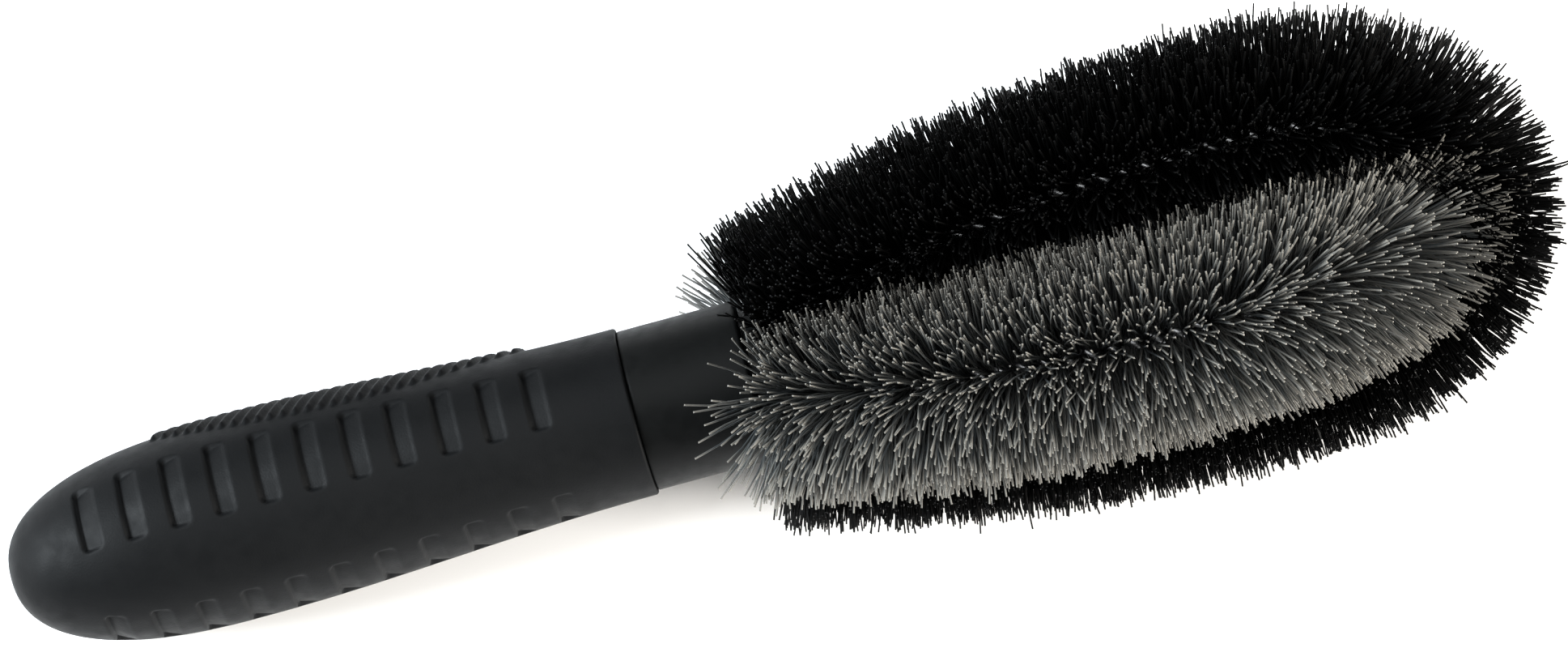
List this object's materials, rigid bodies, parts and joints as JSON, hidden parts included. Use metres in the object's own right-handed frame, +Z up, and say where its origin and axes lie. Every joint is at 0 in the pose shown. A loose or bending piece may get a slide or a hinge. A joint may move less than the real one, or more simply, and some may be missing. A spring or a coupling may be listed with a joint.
{
  "type": "wheel brush",
  "caption": "Wheel cleaning brush: soft ribbed grip on a moulded handle, and an oval head of crossed loops of twisted-in-wire brush, black and grey.",
  "frame": {"origin": "centre of the bounding box in X and Y, on the surface that the brush lies on", "axes": "+X from the butt of the handle towards the tip of the head, level with the surface; +Z up, away from the surface"},
  "size_m": [0.2734, 0.0724, 0.0745],
  "materials": {
    "core": "moulded polypropylene, satin",
    "grip": "moulded thermoplastic rubber, soft matt",
    "plug": "moulded polypropylene, satin",
    "wire": "drawn galvanised steel wire",
    "black_fill": "crimped black plastic filament, cut ends",
    "grey_fill": "crimped grey plastic filament, cut ends"
  },
  "bodies": {
    "root": {"handle_core": "core", "grip_sleeve": "grip", "neck_plug": "plug", "black_wire_strand_a": "wire", "black_wire_strand_b": "wire", "grey_wire_strand_a": "wire", "grey_wire_strand_b": "wire", "black_upper_rear": "black_fill", "black_upper_middle": "black_fill", "black_upper_wide": "black_fill", "black_upper_nose": "black_fill", "black_lower_rear": "black_fill", "black_lower_middle": "black_fill", "black_lower_wide": "black_fill", "black_lower_nose": "black_fill", "black_tip": "black_fill", "grey_front_rear": "grey_fill", "grey_front_middle": "grey_fill", "grey_front_wide": "grey_fill", "grey_front_nose": "grey_fill", "grey_back_rear": "grey_fill", "grey_back_middle": "grey_fill", "grey_back_wide": "grey_fill", "grey_back_nose": "grey_fill"}
  },
  "joints": []
}
